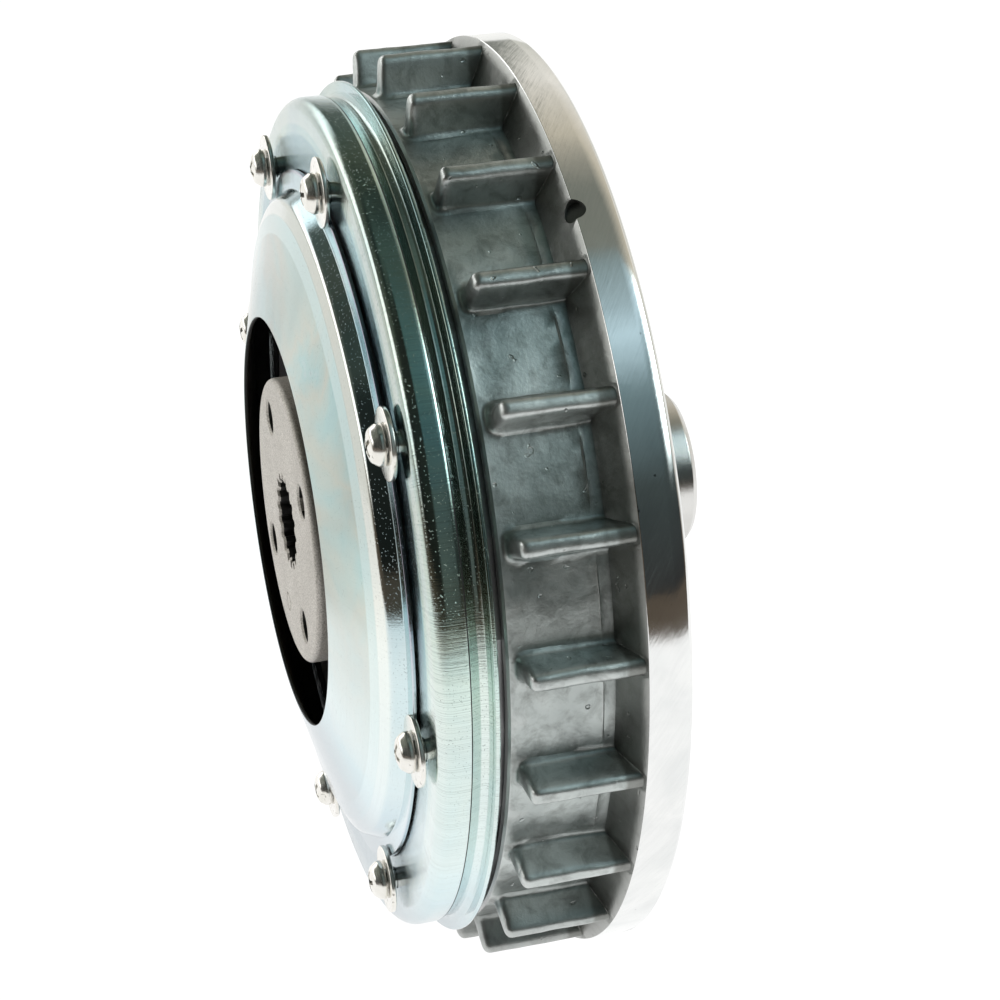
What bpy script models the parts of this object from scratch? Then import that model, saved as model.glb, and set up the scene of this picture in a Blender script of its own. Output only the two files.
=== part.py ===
"""Magnetic-powder electromagnetic clutch, an assembly of turned, cast and stamped pieces.

Lengths are written in millimetres and turned into metres by mm(). Every piece is drawn in the
clutch's own frame, where local +Z runs forward along the spin axis, from the plane of the rim's
rear edge towards the splined hub, and local +Y is up. The empty "clutch_axis" carries that frame
to the world frame: the hub faces world -Y, +Z is up, and the world origin is the centre of the
pilot boss's flat end face. A turned outline is a list of (radius, station) pairs.
"""
import math

import bmesh
import bpy
from mathutils import Matrix, Vector

# ---- driving dimensions, mm -------------------------------------------------------------------
RIM_RADIUS = 115.0
RIM_WIDTH = 10.1
DRUM_RADIUS = 104.35
DRUM_FRONT = 38.8
DRUM_BORE = 101.3
HOUSING_FLOOR = 7.0
FLOOR_OPENING = 86.0
FIN_COUNT = 24
FIN_TIP_RADIUS = 114.1
FIN_FRONT = 35.9
FIN_TIP_WIDTH = 4.4
FIN_ROOT_WIDTH = 6.0
FIN_ROOT_FRONT = FIN_FRONT + 0.8
FIN_ROOT_RADIUS = DRUM_RADIUS - 1.4     # inside the drum wall, so that fin and wall fuse
FIN_TIP_REAR = RIM_WIDTH + 0.25
FIN_ROOT_REAR = RIM_WIDTH - 6.0
FIN_EDGE_BREAK = 1.1
BALANCE_ANGLE = 28.4
BALANCE_RADIUS = 3.6

BOSS_RADIUS = 20.0
BOSS_END = -35.6

YOKE_RADIUS = 101.0
YOKE_SPLIT = 27.6
POLE_BORE = 78.0
POLE_OUTER = 81.5
COIL_SPACE_OUTER = 97.0
LEAD_PORT_RADIUS = 1.6
LEAD_PORT_CIRCLE = 85.0
YOKE_FRONT = 53.0

COVER_SHEET = 1.2
COVER_FACE = 54.5
COVER_WALL_RADIUS = 104.0
COVER_LIP_RADIUS = 107.0
DOME_SHEET = 1.0
DOME_FLANGE_RADIUS = 86.7
DOME_OPENING_RADIUS = 51.4
DOME_TOP = 67.7

SCREW_COUNT = 8
SCREW_CIRCLE = 91.7
SCREW_HEAD_RADIUS = 4.8
SCREW_HOLE_RADIUS = 2.8
WASHER_RADIUS = 8.3
WASHER_THICK = 1.2

REAR_SCREW_COUNT = 6
REAR_SCREW_CIRCLE = 92.5
REAR_SCREW_ANGLES = [30.0 + 360.0 * index / REAR_SCREW_COUNT for index in range(REAR_SCREW_COUNT)]
REAR_BORE_RADIUS = 2.4
REAR_SINK_RADIUS = 4.5
REAR_SINK_DEPTH = 4.2
DRIVE_LAND = 6.3          # station of the raised land that the engine's drive plate bolts to
DRIVE_LAND_INNER = 33.0
DRIVE_LAND_OUTER = 84.5
DRIVE_TAP_COUNT = 6
DRIVE_TAP_CIRCLE = 60.0
DRIVE_TAP_RADIUS = 3.4

BALL_COUNT = 9
BALL_RADIUS = 3.97
BALL_CIRCLE = 19.25
BEARING_REAR = 10.6
BEARING_WIDTH = 15.0
BEARING_BORE = 12.6
BEARING_OUTER = 26.0

ROTOR_RADIUS = 76.0
HUB_RADIUS = 36.0
HUB_FACE = 66.8
HUB_HOLE_COUNT = 4
HUB_HOLE_CIRCLE = 26.8
HUB_HOLE_RADIUS = 4.2
SPLINE_TEETH = 18
SPLINE_ROOT_RADIUS = 11.8
SPLINE_TIP_RADIUS = 10.3
SPLINE_FLOOR = 37.0

CLEARANCE = 0.3
FIN_PHASE = 5.4          # degrees from straight up to the first fin, screw and washer
LEAD_ANGLES = (17.0, 39.0)

MAIN_STEPS = 60
COVER_STEPS = 40
INNER_STEPS = 28
SMALL_STEPS = 24

PARTS = "electromagnetic_clutch"
CUTTERS = "cutters"


def mm(value):
    return value / 1000.0


def clear_scene():
    for item in list(bpy.data.objects):
        bpy.data.objects.remove(item, do_unlink=True)
    for group in list(bpy.data.collections):
        bpy.data.collections.remove(group)


def make_collection(name):
    group = bpy.data.collections.new(name)
    bpy.context.scene.collection.children.link(group)
    return group


def make_material(name, color, roughness, metallic):
    """A Principled material with one colour, roughness and metallic value."""
    material = bpy.data.materials.new(name)
    material.use_nodes = True
    shader = material.node_tree.nodes["Principled BSDF"]
    shader.inputs["Base Color"].default_value = (*color, 1.0)
    shader.inputs["Roughness"].default_value = roughness
    shader.inputs["Metallic"].default_value = metallic
    return material


FINISHES = {
    "cast_aluminium": ((0.44, 0.45, 0.46), 0.42, 1.0),
    "yoke_steel": ((0.36, 0.36, 0.37), 0.38, 1.0),
    "turned_steel": ((0.62, 0.62, 0.62), 0.2, 1.0),
    "zinc_plate": ((0.66, 0.76, 0.76), 0.16, 1.0),
    "nickel": ((0.80, 0.78, 0.74), 0.12, 1.0),
    "brass": ((0.72, 0.52, 0.26), 0.3, 1.0),
    "enamelled_copper": ((0.45, 0.16, 0.07), 0.35, 0.6),
    "phenolic": ((0.03, 0.03, 0.03), 0.5, 0.0),
    "rubber": ((0.02, 0.02, 0.02), 0.8, 0.0),
    "sintered_iron": ((0.52, 0.48, 0.44), 0.55, 0.7),
    "bearing_steel": ((0.6, 0.6, 0.62), 0.15, 1.0),
    "iron_powder": ((0.1, 0.1, 0.1), 0.9, 0.3),
}


def link(item, group, parent=None):
    group.objects.link(item)
    item.parent = parent
    return item


def finish(item, material_name):
    """Give a piece its own material and smooth its round faces."""
    color, roughness, metallic = FINISHES[material_name]
    item.data.materials.clear()
    item.data.materials.append(make_material(item.name + "_" + material_name, color, roughness, metallic))
    item.data.shade_smooth()
    return item


def angle_point(radius, degrees, station):
    """A point at an angle measured from straight up, clockwise as seen from the hub side."""
    turn = math.radians(degrees)
    return Vector((mm(radius) * math.sin(turn), mm(radius) * math.cos(turn), mm(station)))


def arc(centre_r, centre_s, radius, first, last, count):
    """Points of a circular arc in an outline, angles in degrees from outward towards forward."""
    points = []
    for index in range(count + 1):
        turn = math.radians(first + (last - first) * index / count)
        points.append((centre_r + radius * math.cos(turn), centre_s + radius * math.sin(turn)))
    return points


def outline_object(name, outline, closed, steps, group, parent):
    """A (radius, station) outline, run down its outer side, swept round local Z by a Screw."""
    mesh = bpy.data.meshes.new(name)
    verts = [(mm(radius), 0.0, mm(station)) for radius, station in outline]
    edges = [(index, index + 1) for index in range(len(verts) - 1)]
    if closed:
        edges.append((len(verts) - 1, 0))
    mesh.from_pydata(verts, edges, [])
    item = link(bpy.data.objects.new(name, mesh), group, parent)
    screw = item.modifiers.new("turn", "SCREW")
    screw.axis = "Z"
    screw.angle = math.tau
    screw.steps = steps
    screw.render_steps = steps
    screw.use_merge_vertices = True
    screw.merge_threshold = 0.00001
    screw.use_smooth_shade = True
    return item


def turned(name, outline, material_name, steps=INNER_STEPS, closed=True):
    item = outline_object(name, outline, closed, steps, parts, axis)
    return finish(item, material_name)


def hide_cutter(item):
    item.display_type = "WIRE"
    item.hide_render = True
    return item


def cylinder_mesh(name, radius, length, segments):
    mesh = bpy.data.meshes.new(name)
    shape = bmesh.new()
    bmesh.ops.create_cone(shape, cap_ends=True, segments=segments, radius1=mm(radius), radius2=mm(radius),
                          depth=mm(length))
    shape.to_mesh(mesh)
    shape.free()
    return mesh


def box_mesh(name, size_x, size_y, size_z):
    mesh = bpy.data.meshes.new(name)
    shape = bmesh.new()
    bmesh.ops.create_cube(shape, size=1.0)
    bmesh.ops.scale(shape, vec=(mm(size_x), mm(size_y), mm(size_z)), verts=shape.verts)
    shape.to_mesh(mesh)
    shape.free()
    return mesh


def cutter_group(name):
    group = bpy.data.collections.new(name)
    cutters.children.link(group)
    return group


def hole_ring(name, radius, circle, low, high, angles, segments=12):
    """Axial drills at the given angles on one pitch circle, in a cutter collection of their own."""
    group = cutter_group(name)
    mesh = cylinder_mesh(name, radius, high - low, segments)
    for index, degrees in enumerate(angles):
        drill = bpy.data.objects.new(f"{name}_{index + 1}", mesh)
        drill.location = angle_point(circle, degrees, (low + high) / 2)
        link(hide_cutter(drill), group, axis)
    return group


def combine(item, operand, operation):
    """Boolean with one object or with a whole cutter collection."""
    boolean = item.modifiers.new(operation.lower(), "BOOLEAN")
    boolean.operation = operation
    boolean.solver = "EXACT"
    if isinstance(operand, bpy.types.Collection):
        boolean.operand_type = "COLLECTION"
        boolean.collection = operand
    else:
        boolean.object = operand
    return item


def even_angles(count, start=0.0):
    return [start + 360.0 * index / count for index in range(count)]


# ---- finned housing ---------------------------------------------------------------------------
def fin_mesh():
    """One cooling fin: a tapered plate standing along local +Y, with its free front edges broken."""
    mesh = box_mesh("fin", 1.0, 1.0, 1.0)
    shape = bmesh.new()
    shape.from_mesh(mesh)
    tips = []
    fronts = []
    for vert in shape.verts:
        outer = vert.co.y > 0
        front = vert.co.z > 0
        if outer:
            tips.append(vert)
        if front:
            fronts.append(vert)
        width = FIN_TIP_WIDTH if outer else FIN_ROOT_WIDTH
        front_station = FIN_FRONT if outer else FIN_ROOT_FRONT
        rear_station = FIN_TIP_REAR if outer else FIN_ROOT_REAR
        vert.co.x = math.copysign(mm(width) / 2, vert.co.x)
        vert.co.y = mm(FIN_TIP_RADIUS if outer else FIN_ROOT_RADIUS)
        vert.co.z = mm(front_station if front else rear_station)
    broken = []
    for edge in shape.edges:
        at_tip = all(vert in tips for vert in edge.verts)
        front_ends = [vert in fronts for vert in edge.verts]
        if all(front_ends) or (at_tip and any(front_ends)):
            broken.append(edge)
    bmesh.ops.bevel(shape, geom=broken, offset=mm(FIN_EDGE_BREAK), segments=1, affect="EDGES", profile=0.5)
    shape.to_mesh(mesh)
    shape.free()
    return mesh


def build_housing():
    """Drum with a sloping rim wall and an inward floor; the fins stand on the drum."""
    outline = [
        (DRUM_BORE, DRUM_FRONT), (DRUM_RADIUS - 0.6, DRUM_FRONT), (DRUM_RADIUS, DRUM_FRONT - 0.6),
        (DRUM_RADIUS + 0.5, 15.2), (106.2, 13.6), (RIM_RADIUS, RIM_WIDTH), (RIM_RADIUS, 1.0),
        (RIM_RADIUS - 1.0, 0.0), (FLOOR_OPENING, 0.0), (FLOOR_OPENING, HOUSING_FLOOR),
        (DRUM_BORE, HOUSING_FLOOR),
    ]
    housing = turned("finned_housing", outline, "cast_aluminium", MAIN_STEPS)
    fins = cutter_group("fins")
    mesh = fin_mesh()
    for index, degrees in enumerate(even_angles(FIN_COUNT, FIN_PHASE)):
        fin = bpy.data.objects.new(f"fin_{index + 1}", mesh)
        fin.rotation_euler = (0.0, 0.0, -math.radians(degrees))
        link(hide_cutter(fin), fins, axis)
    combine(housing, fins, "UNION")
    bores = hole_ring("housing_screw_bores", REAR_BORE_RADIUS, REAR_SCREW_CIRCLE, -1.0,
                      HOUSING_FLOOR + 1.0, REAR_SCREW_ANGLES)
    combine(housing, bores, "DIFFERENCE")
    sinks = hole_ring("housing_counterbores", REAR_SINK_RADIUS, REAR_SCREW_CIRCLE, -1.0, REAR_SINK_DEPTH,
                      REAR_SCREW_ANGLES, 16)
    combine(housing, sinks, "DIFFERENCE")
    balance = hole_ring("balance_drill", BALANCE_RADIUS, RIM_RADIUS - 1.2, RIM_WIDTH - 3.4,
                        RIM_WIDTH + 0.9, [BALANCE_ANGLE])
    combine(housing, balance, "DIFFERENCE")
    return housing


def build_rear_screws():
    """Socket cap screws that hold the housing's floor to the rear yoke."""
    outline = [
        (0.0, 11.6), (1.6, 11.6), (2.05, 11.0), (2.05, 3.9), (4.0, 3.9), (4.0, 0.9), (3.6, 0.5), (0.0, 0.5),
    ]
    for index, degrees in enumerate(REAR_SCREW_ANGLES):
        name = f"rear_screw_{index + 1}"
        item = turned(name, outline, "yoke_steel", 12, closed=False)
        item.location = angle_point(REAR_SCREW_CIRCLE, degrees, 0.0)
        socket = bpy.data.objects.new(f"rear_socket_{index + 1}", cylinder_mesh("hex_socket", 1.9, 4.0, 6))
        socket.location = angle_point(REAR_SCREW_CIRCLE, degrees, 0.5)
        link(hide_cutter(socket), cutters, axis)
        combine(item, socket, "DIFFERENCE")


# ---- magnetic circuit -------------------------------------------------------------------------
def build_rear_yoke():
    """Rear half of the magnetic circuit, with the drive land behind and the bearing pocket in front."""
    plate_rear = HOUSING_FLOOR + CLEARANCE
    neck = BOSS_RADIUS + 0.4
    pocket = BEARING_OUTER + CLEARANCE
    groove_rear = BEARING_REAR + BEARING_WIDTH + 0.1
    outline = [
        (COIL_SPACE_OUTER, YOKE_SPLIT), (YOKE_RADIUS, YOKE_SPLIT), (YOKE_RADIUS, plate_rear),
        (DRIVE_LAND_OUTER, plate_rear), (DRIVE_LAND_OUTER, DRIVE_LAND), (DRIVE_LAND_INNER, DRIVE_LAND),
        (DRIVE_LAND_INNER, plate_rear), (neck, plate_rear), (neck, BEARING_REAR - CLEARANCE),
        (pocket, BEARING_REAR - CLEARANCE), (pocket, groove_rear), (pocket + 1.3, groove_rear),
        (pocket + 1.3, groove_rear + 1.6), (pocket, groove_rear + 1.6), (pocket, 28.6), (32.0, 28.6),
        (32.0, 13.0), (POLE_BORE, 13.0), (POLE_BORE, 26.0), (POLE_OUTER, 26.0), (POLE_OUTER, 14.6),
        (COIL_SPACE_OUTER, 14.6),
    ]
    yoke = turned("rear_yoke", outline, "yoke_steel")
    taps = hole_ring("drive_plate_taps", DRIVE_TAP_RADIUS, DRIVE_TAP_CIRCLE, DRIVE_LAND - 1.0, 12.0,
                     even_angles(DRIVE_TAP_COUNT))
    combine(yoke, taps, "DIFFERENCE")
    bores = hole_ring("rear_yoke_taps", REAR_BORE_RADIUS, REAR_SCREW_CIRCLE, plate_rear - 1.0, 12.4,
                      REAR_SCREW_ANGLES)
    combine(yoke, bores, "DIFFERENCE")


def build_front_yoke():
    """Front half of the magnetic circuit, tapped for the cover screws and ported for the leads."""
    outline = [
        (POLE_BORE, YOKE_FRONT), (YOKE_RADIUS - 2.4, YOKE_FRONT), (YOKE_RADIUS, YOKE_FRONT - 2.4),
        (YOKE_RADIUS, YOKE_SPLIT + CLEARANCE), (COIL_SPACE_OUTER, YOKE_SPLIT + CLEARANCE),
        (COIL_SPACE_OUTER, 43.4), (POLE_OUTER, 43.4), (POLE_OUTER, 31.0), (POLE_BORE, 31.0),
    ]
    yoke = turned("front_yoke", outline, "yoke_steel")
    taps = hole_ring("front_yoke_taps", SCREW_HOLE_RADIUS, SCREW_CIRCLE, 42.0, 54.0,
                     even_angles(SCREW_COUNT, FIN_PHASE))
    combine(yoke, taps, "DIFFERENCE")
    ports = hole_ring("lead_ports", LEAD_PORT_RADIUS, LEAD_PORT_CIRCLE, 42.0, 54.0, LEAD_ANGLES)
    combine(yoke, ports, "DIFFERENCE")
    channels = cutter_group("lead_channels")
    for index, degrees in enumerate(LEAD_ANGLES):
        channel = bpy.data.objects.new(f"lead_channel_{index + 1}", box_mesh("lead_channel", 3.4, 12.0, 5.0))
        channel.location = angle_point(80.6, degrees, YOKE_FRONT - 1.0)
        channel.rotation_euler = (0.0, 0.0, -math.radians(degrees))
        link(hide_cutter(channel), channels, axis)
    combine(yoke, channels, "DIFFERENCE")


def build_coil():
    """Bobbin, winding, the brass spacer between the pole rings and the powder in the working gap."""
    rear = 14.9
    front = 43.1
    inner = POLE_OUTER + CLEARANCE
    outer = COIL_SPACE_OUTER - 0.4
    bobbin = [
        (inner, front), (outer, front), (outer, front - 1.5), (inner + 1.5, front - 1.5),
        (inner + 1.5, rear + 1.5), (outer, rear + 1.5), (outer, rear), (inner, rear),
    ]
    turned("coil_bobbin", bobbin, "phenolic")
    winding = [
        (inner + 1.8, front - 1.8), (outer - 1.0, front - 1.8), (outer - 1.0, rear + 1.8),
        (inner + 1.8, rear + 1.8),
    ]
    turned("coil_winding", winding, "enamelled_copper")
    spacer = [(POLE_BORE, 30.7), (POLE_OUTER, 30.7), (POLE_OUTER, 26.3), (POLE_BORE, 26.3)]
    turned("pole_spacer_ring", spacer, "brass")
    powder = [(76.7, 42.0), (77.5, 42.0), (77.5, 14.0), (76.7, 14.0)]
    turned("magnetic_powder", powder, "iron_powder")


def build_lead(name, degrees):
    """One coil lead, from the coil through the front yoke and inwards to the slip rings."""
    route = [
        (LEAD_PORT_CIRCLE, 43.5), (LEAD_PORT_CIRCLE, 50.3), (84.2, 51.2), (83.0, 51.5), (61.0, 51.5),
        (59.2, 51.0), (58.4, 49.6),
    ]
    curve = bpy.data.curves.new(name, "CURVE")
    curve.dimensions = "3D"
    curve.bevel_depth = mm(0.8)
    curve.bevel_resolution = 1
    curve.use_fill_caps = True
    spline = curve.splines.new("POLY")
    spline.points.add(len(route) - 1)
    for point, (radius, station) in zip(spline.points, route):
        point.co = (*angle_point(radius, degrees, station), 1.0)
    item = link(bpy.data.objects.new(name, curve), parts, axis)
    color, roughness, metallic = FINISHES["enamelled_copper"]
    curve.materials.append(make_material(name + "_enamelled_copper", color, roughness, metallic))


def build_slip_rings():
    """The insulating board and the two collector rings that the brushes run on."""
    carrier = [(33.0, 49.2), (60.0, 49.2), (60.0, 46.4), (33.0, 46.4)]
    turned("slip_ring_carrier", carrier, "phenolic", SMALL_STEPS)
    for name, inner, outer in (("slip_ring_inner", 36.5, 43.0), ("slip_ring_outer", 46.0, 52.5)):
        ring = [(inner, 51.2), (outer, 51.2), (outer, 49.5), (inner, 49.5)]
        turned(name, ring, "brass", SMALL_STEPS)


def build_seals():
    """The plate that closes the powder space in front and the lip ring that closes it behind."""
    plate = [
        (28.4, 48.6), (31.6, 48.6), (31.6, 46.1), (77.4, 46.1), (77.4, 44.2), (28.4, 44.2),
    ]
    turned("front_seal_plate", plate, "yoke_steel", SMALL_STEPS)
    ring = [(32.4, 17.4), (37.0, 17.4), (41.0, 15.4), (41.0, 13.4), (32.4, 13.4)]
    turned("rear_seal_ring", ring, "rubber", SMALL_STEPS)


# ---- covers and their screws ------------------------------------------------------------------
def build_outer_cover():
    """Stamped ring: flat face, rounded shoulder, waisted wall and an outward lip."""
    bend = 5.5
    face_edge = COVER_WALL_RADIUS - bend
    corner_s = COVER_FACE - bend
    outer = [(77.0, COVER_FACE)] + arc(face_edge, corner_s, bend, 90.0, 0.0, 3)
    outer += [(103.9, 46.6), (102.9, 44.0), (104.0, 42.6), (COVER_LIP_RADIUS, 42.2)]
    inner = [(COVER_LIP_RADIUS - 0.3, 41.1), (102.2, 41.1), (101.6, 44.2), (102.7, 47.0)]
    inner += arc(face_edge, corner_s, bend - COVER_SHEET, 0.0, 90.0, 2)
    inner += [(77.0, COVER_FACE - COVER_SHEET)]
    cover = turned("outer_cover", outer + inner, "zinc_plate", COVER_STEPS)
    bores = hole_ring("outer_cover_bores", SCREW_HOLE_RADIUS, SCREW_CIRCLE, COVER_FACE - 3.0,
                      COVER_FACE + 1.0, even_angles(SCREW_COUNT, FIN_PHASE))
    combine(cover, bores, "DIFFERENCE")


def build_dome_cover():
    """Shallow stamped dome: open centre, sloping face, rounded shoulder, short wall, narrow flange."""
    flange = COVER_FACE + CLEARANCE + DOME_SHEET
    outer = [(DOME_OPENING_RADIUS, DOME_TOP), (72.0, 62.0), (76.6, 60.6), (79.2, 59.3), (80.6, 57.6)]
    outer += [(81.2, 56.4), (82.6, flange), (DOME_FLANGE_RADIUS, flange)]
    inner = [(DOME_FLANGE_RADIUS, flange - DOME_SHEET), (82.0, flange - DOME_SHEET), (80.3, 55.6)]
    inner += [(79.6, 57.3), (78.5, 58.5), (76.2, 59.6), (71.7, 61.0), (DOME_OPENING_RADIUS, DOME_TOP - 1.04)]
    turned("dome_cover", outer + inner, "zinc_plate", COVER_STEPS)


def build_cover_screws():
    """Washers that clamp the dome's flange edge, and cross-recessed pan-head screws."""
    flange = COVER_FACE + CLEARANCE + DOME_SHEET
    washer_rear = flange + CLEARANCE
    washer_front = washer_rear + WASHER_THICK
    head_rear = washer_front + CLEARANCE
    head_front = head_rear + 3.5
    washer = [
        (SCREW_HOLE_RADIUS, washer_front), (WASHER_RADIUS, washer_front), (WASHER_RADIUS, washer_rear),
        (SCREW_HOLE_RADIUS, washer_rear),
    ]
    head = SCREW_HEAD_RADIUS
    screw = [
        (0.0, head_front), (head * 0.7, head_front - 0.6), (head, head_front - 2.2), (head, head_rear),
        (2.45, head_rear), (2.45, 44.2), (0.0, 44.2),
    ]
    slot = box_mesh("cross_slot", 5.2, 1.3, 3.0)
    for index, degrees in enumerate(even_angles(SCREW_COUNT, FIN_PHASE)):
        place = angle_point(SCREW_CIRCLE, degrees, 0.0)
        ring = turned(f"cover_washer_{index + 1}", washer, "nickel", 16)
        ring.location = place
        item = turned(f"cover_screw_{index + 1}", screw, "nickel", 12, closed=False)
        item.location = place
        for arm in range(2):
            cross = bpy.data.objects.new(f"cross_{index + 1}_{arm + 1}", slot)
            cross.location = place + Vector((0.0, 0.0, mm(head_front)))
            cross.rotation_euler = (0.0, 0.0, math.radians(90.0 * arm + 20.0 + 33.0 * index))
            link(hide_cutter(cross), cutters, axis)
            combine(item, cross, "DIFFERENCE")


# ---- pilot boss and bearing -------------------------------------------------------------------
def build_pilot_boss():
    """Centring spigot with a collar that lies on the rear yoke."""
    rear_face = HOUSING_FLOOR + CLEARANCE
    outline = [
        (0.0, 3.0), (16.0, 3.0), (16.0, BEARING_REAR - 0.7), (BOSS_RADIUS, BEARING_REAR - 0.7),
        (BOSS_RADIUS, rear_face - CLEARANCE), (30.0, rear_face - CLEARANCE), (31.0, rear_face - 1.3),
        (31.0, 1.5), (30.0, 0.5), (BOSS_RADIUS + 1.6, 0.5), (BOSS_RADIUS, -1.1),
        (BOSS_RADIUS, BOSS_END + 1.6), (BOSS_RADIUS - 1.6, BOSS_END), (0.0, BOSS_END),
    ]
    turned("pilot_boss", outline, "turned_steel", closed=False)


def build_bearing():
    """Deep-groove ball bearing: two grooved races, a pocketed cage and its balls."""
    rear = BEARING_REAR
    front = BEARING_REAR + BEARING_WIDTH
    middle = (rear + front) / 2
    groove = BALL_RADIUS + CLEARANCE
    inner_land = 16.6
    outer_land = 21.9
    inner_turn = math.degrees(math.acos((BALL_CIRCLE - inner_land) / groove))
    outer_turn = math.degrees(math.acos((outer_land - BALL_CIRCLE) / groove))
    inner_groove = arc(BALL_CIRCLE, middle, groove, 180.0 - inner_turn, 180.0 + inner_turn, 4)
    inner_race = [(BEARING_BORE, front), (inner_land, front)] + inner_groove
    inner_race += [(inner_land, rear), (BEARING_BORE, rear)]
    turned("bearing_inner_race", inner_race, "bearing_steel", SMALL_STEPS)
    outer_groove = arc(BALL_CIRCLE, middle, groove, -outer_turn, outer_turn, 4)
    outer_race = [(BEARING_OUTER, front), (BEARING_OUTER, rear), (outer_land, rear)] + outer_groove
    outer_race += [(outer_land, front)]
    turned("bearing_outer_race", outer_race, "bearing_steel", SMALL_STEPS)
    cage = [(18.3, middle + 5.6), (20.2, middle + 5.6), (20.2, middle - 5.6), (18.3, middle - 5.6)]
    ring = turned("bearing_cage", cage, "brass")
    pockets = cutter_group("cage_pockets")
    pocket = cylinder_mesh("cage_pocket", BALL_RADIUS + 0.35, 12.0, 12)
    ball = bpy.data.meshes.new("ball")
    shape = bmesh.new()
    bmesh.ops.create_icosphere(shape, subdivisions=2, radius=mm(BALL_RADIUS))
    shape.to_mesh(ball)
    shape.free()
    for index, degrees in enumerate(even_angles(BALL_COUNT)):
        drill = bpy.data.objects.new(f"cage_pocket_{index + 1}", pocket)
        drill.matrix_local = (Matrix.Translation(angle_point(BALL_CIRCLE, degrees, middle))
                              @ Matrix.Rotation(-math.radians(degrees), 4, "Z")
                              @ Matrix.Rotation(math.radians(90.0), 4, "X"))
        link(hide_cutter(drill), pockets, axis)
        item = bpy.data.objects.new(f"bearing_ball_{index + 1}", ball.copy())
        item.location = angle_point(BALL_CIRCLE, degrees, middle)
        finish(link(item, parts, axis), "bearing_steel")
    combine(ring, pockets, "DIFFERENCE")


def snap_ring(name, inner, outer, rear, front, gap):
    """A flat ring, slit at the top so that it can be sprung into its groove."""
    outline = [(inner, front), (outer, front), (outer, rear), (inner, rear)]
    ring = turned(name, outline, "yoke_steel")
    cutter = bpy.data.objects.new(name + "_gap", box_mesh(name + "_gap", gap, (outer - inner) * 2, 4.0))
    cutter.location = angle_point((inner + outer) / 2, 0.0, (rear + front) / 2)
    link(hide_cutter(cutter), cutters, axis)
    combine(ring, cutter, "DIFFERENCE")


def build_snap_rings():
    front = BEARING_REAR + BEARING_WIDTH
    snap_ring("outer_snap_ring", 23.6, BEARING_OUTER + 1.1, front + 0.45, front + 1.35, 7.0)
    snap_ring("inner_snap_ring", 11.5, 14.6, BEARING_REAR - 1.9, BEARING_REAR - 0.9, 4.0)


# ---- driven side ------------------------------------------------------------------------------
def build_rotor_drum():
    """The cup that turns in the powder gap, joined to the hub by its web."""
    outline = [
        (70.0, 42.4), (ROTOR_RADIUS, 42.4), (ROTOR_RADIUS, 13.8), (70.0, 13.8), (70.0, 31.5), (24.3, 31.5),
        (24.3, 36.5), (70.0, 36.5),
    ]
    turned("rotor_drum", outline, "yoke_steel")


def spline_cutter():
    """The broached spline as a toothed prism that is as long as the blind bore."""
    shape = bmesh.new()
    verts = []
    pitch = 360.0 / SPLINE_TEETH
    for tooth in range(SPLINE_TEETH):
        for share, radius in ((0.0, SPLINE_ROOT_RADIUS), (0.3, SPLINE_ROOT_RADIUS),
                              (0.5, SPLINE_TIP_RADIUS), (0.8, SPLINE_TIP_RADIUS)):
            point = angle_point(radius, (tooth + share) * pitch, SPLINE_FLOOR)
            verts.append(shape.verts.new(point))
    face = shape.faces.new(verts)
    grown = bmesh.ops.extrude_face_region(shape, geom=[face])
    moved = [item for item in grown["geom"] if isinstance(item, bmesh.types.BMVert)]
    bmesh.ops.translate(shape, vec=(0.0, 0.0, mm(HUB_FACE + 2.0 - SPLINE_FLOOR)), verts=moved)
    bmesh.ops.recalc_face_normals(shape, faces=shape.faces)
    mesh = bpy.data.meshes.new("spline_cutter")
    shape.to_mesh(mesh)
    shape.free()
    return link(hide_cutter(bpy.data.objects.new("spline_cutter", mesh)), cutters, axis)


def build_rotor_hub():
    """Flanged hub with a blind splined bore, carried by the ball bearing at its rear end."""
    bearing_front = BEARING_REAR + BEARING_WIDTH
    neck = BEARING_BORE - CLEARANCE
    groove_front = BEARING_REAR - 0.6
    outline = [
        (0.0, HUB_FACE), (HUB_RADIUS - 1.6, HUB_FACE), (HUB_RADIUS - 0.5, HUB_FACE - 0.5),
        (HUB_RADIUS, HUB_FACE - 1.6), (HUB_RADIUS, 58.6), (21.5, 57.0), (21.5, 51.5), (27.0, 50.4),
        (27.0, 36.8), (24.0, 36.8), (24.0, 30.2), (15.6, 30.2), (15.6, bearing_front + CLEARANCE),
        (neck, bearing_front + CLEARANCE), (neck, groove_front), (11.2, groove_front),
        (11.2, groove_front - 1.6), (neck, groove_front - 1.6), (neck, 6.6), (neck - 1.0, 5.6), (0.0, 5.6),
    ]
    hub = turned("rotor_hub", outline, "sintered_iron", INNER_STEPS, closed=False)
    combine(hub, spline_cutter(), "DIFFERENCE")
    holes = hole_ring("hub_holes", HUB_HOLE_RADIUS, HUB_HOLE_CIRCLE, 53.0, 70.0,
                      even_angles(HUB_HOLE_COUNT, 45.0 + FIN_PHASE), 16)
    combine(hub, holes, "DIFFERENCE")


def build_all():
    build_housing()
    build_rear_screws()
    build_rear_yoke()
    build_front_yoke()
    build_coil()
    for index, degrees in enumerate(LEAD_ANGLES):
        build_lead(f"coil_lead_{index + 1}", degrees)
    build_slip_rings()
    build_seals()
    build_outer_cover()
    build_dome_cover()
    build_cover_screws()
    build_pilot_boss()
    build_bearing()
    build_snap_rings()
    build_rotor_drum()
    build_rotor_hub()


clear_scene()
parts = make_collection(PARTS)
cutters = make_collection(CUTTERS)
axis = bpy.data.objects.new("clutch_axis", None)
axis.location = (0.0, mm(BOSS_END), 0.0)
axis.rotation_euler = (math.radians(90.0), 0.0, 0.0)
parts.objects.link(axis)
build_all()
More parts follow.
